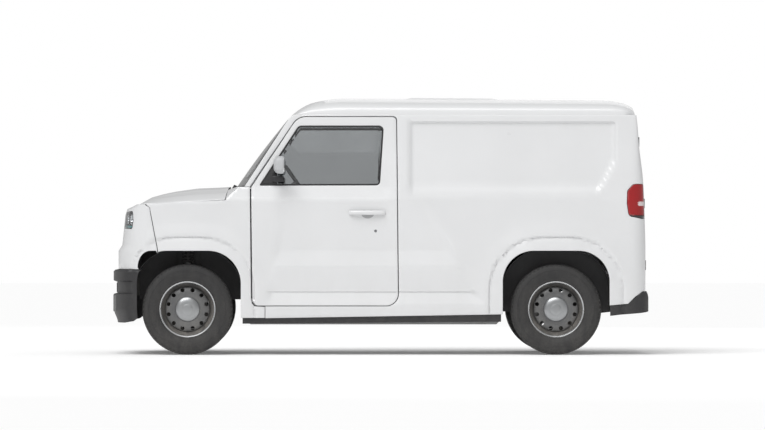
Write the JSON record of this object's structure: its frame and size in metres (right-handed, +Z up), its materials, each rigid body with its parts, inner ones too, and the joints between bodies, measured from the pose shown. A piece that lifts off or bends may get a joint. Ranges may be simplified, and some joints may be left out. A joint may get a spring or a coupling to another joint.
{
  "type": "small electric delivery van",
  "caption": "Small delivery van with a short bonnet, two cab doors, a windowless cargo body, rear barn doors, steel wheels and a full running gear.",
  "frame": {"origin": "on the ground under the middle of the overall length and width", "axes": "+X towards the rear, -Y the vehicle's left (driver's) side, +Z up"},
  "size_m": [3.8292, 1.984, 1.85],
  "materials": {
    "body_white": "gloss white paint",
    "black_plastic": "grained black plastic",
    "frame_black": "satin black coating",
    "battery_case": "satin dark coating",
    "tinted_glass": "tinted glass",
    "clear_lens": "clear lens",
    "red_lens": "gloss red lens",
    "tyre_rubber": "black rubber",
    "wheel_steel": "grey painted steel",
    "cap_metal": "brushed",
    "trim_grey": "moulded grey plastic",
    "mirror_shell": "light grey plastic",
    "seat_fabric": "dark woven fabric",
    "cast_parts": "bare casting",
    "spring_steel": "black coated spring",
    "wheel_rim_grip": "soft black grip"
  },
  "bodies": {
    "van_body": {"underbody": "body_white", "chassis_frame": "frame_black", "battery_pack": "battery_case", "body_side_left": "body_white", "body_side_right": "body_white", "roof_panel": "body_white", "bulkhead": "body_white", "fender_left": "body_white", "fender_right": "body_white", "nose_panel": "body_white", "front_bumper": "black_plastic", "rear_bumper": "black_plastic", "windscreen": "tinted_glass", "head_lamps": "clear_lens", "tail_lamps": "red_lens", "arch_liners": "black_plastic", "dashboard": "trim_grey", "steering_column": "trim_grey", "rear_springs": "spring_steel"},
    "bonnet": {"bonnet": "body_white"},
    "steering_wheel": {"steering_wheel": "wheel_rim_grip"},
    "steering_rack": {"steering_rack": "spring_steel"},
    "rear_handle": {"rear_door_handle": "black_plastic"},
    "rear_axle": {"rear_axle": "cast_parts"},
    "brake_pedal": {"brake_pedal": "black_plastic"},
    "accelerator_pedal": {"accelerator_pedal": "black_plastic"},
    "wiper_left": {"wiper_left": "black_plastic"},
    "wiper_right": {"wiper_right": "black_plastic"},
    "door_left": {"door_shell_left": "body_white", "door_trim_left": "trim_grey"},
    "window_left": {"door_glass_left": "tinted_glass"},
    "handle_left": {"door_handle_left": "body_white"},
    "mirror_left": {"mirror_left": "mirror_shell"},
    "rear_door_left": {"rear_door_left": "body_white"},
    "strut_left": {"strut_rod_left": "spring_steel"},
    "knuckle_left": {"knuckle_left": "cast_parts"},
    "front_wheel_left": {"front_tyre_left": "tyre_rubber", "front_rim_left": "wheel_steel", "front_hub_cap_left": "cap_metal"},
    "rear_wheel_left": {"rear_tyre_left": "tyre_rubber", "rear_rim_left": "wheel_steel", "rear_hub_cap_left": "cap_metal"},
    "door_right": {"door_shell_right": "body_white", "door_trim_right": "trim_grey"},
    "window_right": {"door_glass_right": "tinted_glass"},
    "handle_right": {"door_handle_right": "body_white"},
    "mirror_right": {"mirror_right": "mirror_shell"},
    "rear_door_right": {"rear_door_right": "body_white"},
    "strut_right": {"strut_rod_right": "spring_steel"},
    "knuckle_right": {"knuckle_right": "cast_parts"},
    "front_wheel_right": {"front_tyre_right": "tyre_rubber", "front_rim_right": "wheel_steel", "front_hub_cap_right": "cap_metal"},
    "rear_wheel_right": {"rear_tyre_right": "tyre_rubber", "rear_rim_right": "wheel_steel", "rear_hub_cap_right": "cap_metal"},
    "driver_seat": {"driver_seat_base": "seat_fabric"},
    "driver_backrest": {"driver_seat_back": "seat_fabric"},
    "passenger_seat": {"passenger_seat_base": "seat_fabric"},
    "passenger_backrest": {"passenger_seat_back": "seat_fabric"}
  },
  "joints": [
    {"name": "steering_turn", "type": "hinge", "parent": "van_body", "child": "steering_wheel", "pos_m": [-0.58, -0.356, 1.205], "axis": [0.8192, 0, 0.5736], "range_deg": [-450, 450]},
    {"name": "rack_travel", "type": "slide", "parent": "van_body", "child": "steering_rack", "axis": [0, 1, 0], "range_m": [-0.07, 0.07]},
    {"name": "door_left_swing", "type": "hinge", "parent": "van_body", "child": "door_left", "pos_m": [-0.871, -0.767, 0.8], "axis": [0, 0, -1], "range_deg": [0, 65]},
    {"name": "window_left_drop", "type": "slide", "parent": "door_left", "child": "window_left", "axis": [0, -0.0869, -0.9962], "range_m": [0, 0.38]},
    {"name": "handle_left_pull", "type": "hinge", "parent": "door_left", "child": "handle_left", "pos_m": [-0.21, -0.807, 1.015], "axis": [0, 0, -1], "range_deg": [0, 12], "stiffness_Nm_per_rad": 4, "springref_deg": -2.86},
    {"name": "mirror_left_fold", "type": "hinge", "parent": "door_left", "child": "mirror_left", "pos_m": [-0.72, -0.802, 1.3], "axis": [0, 0, 1], "range_deg": [0, 50]},
    {"name": "rear_door_left_swing", "type": "hinge", "parent": "van_body", "child": "rear_door_left", "pos_m": [1.917, -0.697, 0.455], "axis": [0.0542, 0, -0.9985], "range_deg": [0, 95]},
    {"name": "steer_left", "type": "hinge", "parent": "van_body", "child": "strut_left", "pos_m": [-1.378, -0.527, 0.77], "axis": [0, 0.1993, 0.9799], "range_deg": [-30.5, 30.5]},
    {"name": "front_travel_left", "type": "slide", "parent": "strut_left", "child": "knuckle_left", "axis": [0, 0.0995, 0.995], "range_m": [-0.06, 0.06], "stiffness_N_per_m": 40000, "springref_m": -0.04556},
    {"name": "front_spin_left", "type": "hinge", "parent": "knuckle_left", "child": "front_wheel_left", "pos_m": [-1.378, -0.69, 0.325], "axis": [0, 1, 0], "continuous": true},
    {"name": "rear_spin_left", "type": "hinge", "parent": "rear_axle", "child": "rear_wheel_left", "pos_m": [1.252, -0.69, 0.325], "axis": [0, 1, 0], "continuous": true},
    {"name": "door_right_swing", "type": "hinge", "parent": "van_body", "child": "door_right", "pos_m": [-0.871, 0.767, 0.8], "axis": [0, 0, 1], "range_deg": [0, 65]},
    {"name": "window_right_drop", "type": "slide", "parent": "door_right", "child": "window_right", "axis": [0, 0.0869, -0.9962], "range_m": [0, 0.38]},
    {"name": "handle_right_pull", "type": "hinge", "parent": "door_right", "child": "handle_right", "pos_m": [-0.21, 0.807, 1.015], "axis": [0, 0, 1], "range_deg": [0, 12], "stiffness_Nm_per_rad": 4, "springref_deg": -2.86},
    {"name": "mirror_right_fold", "type": "hinge", "parent": "door_right", "child": "mirror_right", "pos_m": [-0.72, 0.802, 1.3], "axis": [0, 0, -1], "range_deg": [0, 50]},
    {"name": "rear_door_right_swing", "type": "hinge", "parent": "van_body", "child": "rear_door_right", "pos_m": [1.917, 0.697, 0.455], "axis": [-0.0542, 0, 0.9985], "range_deg": [0, 95]},
    {"name": "steer_right", "type": "hinge", "parent": "van_body", "child": "strut_right", "pos_m": [-1.378, 0.527, 0.77], "axis": [0, -0.1993, 0.9799], "range_deg": [-30.5, 30.5]},
    {"name": "front_travel_right", "type": "slide", "parent": "strut_right", "child": "knuckle_right", "axis": [0, -0.0995, 0.995], "range_m": [-0.06, 0.06], "stiffness_N_per_m": 40000, "springref_m": -0.04556},
    {"name": "front_spin_right", "type": "hinge", "parent": "knuckle_right", "child": "front_wheel_right", "pos_m": [-1.378, 0.69, 0.325], "axis": [0, 1, 0], "continuous": true},
    {"name": "rear_spin_right", "type": "hinge", "parent": "rear_axle", "child": "rear_wheel_right", "pos_m": [1.252, 0.69, 0.325], "axis": [0, 1, 0], "continuous": true},
    {"name": "rear_handle_turn", "type": "hinge", "parent": "rear_door_left", "child": "rear_handle", "pos_m": [1.895, -0.06, 0.898], "axis": [1, 0, 0], "range_deg": [0, 60]},
    {"name": "bonnet_lift", "type": "hinge", "parent": "van_body", "child": "bonnet", "pos_m": [-1.115, 0, 1.15], "axis": [0, 1, 0], "range_deg": [0, 50]},
    {"name": "rear_axle_heave", "type": "slide", "parent": "van_body", "child": "rear_axle", "axis": [0, 0, 1], "range_m": [-0.05, 0.06], "stiffness_N_per_m": 70000, "springref_m": -0.08879, "deforming": ["rear_springs"]},
    {"name": "brake_press", "type": "hinge", "parent": "van_body", "child": "brake_pedal", "pos_m": [-0.911, -0.296, 0.67], "axis": [0, 1, 0], "range_deg": [0, 20], "stiffness_Nm_per_rad": 8, "springref_deg": -2.86},
    {"name": "accelerator_press", "type": "hinge", "parent": "van_body", "child": "accelerator_pedal", "pos_m": [-0.911, -0.196, 0.67], "axis": [0, 1, 0], "range_deg": [0, 20], "stiffness_Nm_per_rad": 3, "springref_deg": -2.86},
    {"name": "wiper_left_sweep", "type": "hinge", "parent": "van_body", "child": "wiper_left", "pos_m": [-1.051, -0.38, 1.2], "axis": [0.8371, 0, -0.5471], "range_deg": [0, 95]},
    {"name": "wiper_right_sweep", "type": "hinge", "parent": "van_body", "child": "wiper_right", "pos_m": [-1.051, 0.23, 1.2], "axis": [0.8371, 0, -0.5471], "range_deg": [0, 95]},
    {"name": "driver_seat_slide", "type": "slide", "parent": "van_body", "child": "driver_seat", "axis": [-1, 0, 0], "range_m": [0, 0.15]},
    {"name": "driver_backrest_fold", "type": "hinge", "parent": "driver_seat", "child": "driver_backrest", "pos_m": [-0.11, -0.356, 0.735], "axis": [0, -1, 0], "range_deg": [0, 40]},
    {"name": "passenger_seat_slide", "type": "slide", "parent": "van_body", "child": "passenger_seat", "axis": [-1, 0, 0], "range_m": [0, 0.15]},
    {"name": "passenger_backrest_fold", "type": "hinge", "parent": "passenger_seat", "child": "passenger_backrest", "pos_m": [-0.11, 0.356, 0.735], "axis": [0, -1, 0], "range_deg": [0, 40]}
  ],
  "couplings": [
    {"joint": "steer_left", "follows": "steering_turn", "ratio": 0.066667},
    {"joint": "steer_right", "follows": "steering_turn", "ratio": 0.066667},
    {"joint": "rack_travel", "follows": "steering_turn", "m_per_rad": 0.00867},
    {"joint": "wiper_right_sweep", "follows": "wiper_left_sweep", "ratio": 1}
  ]
}
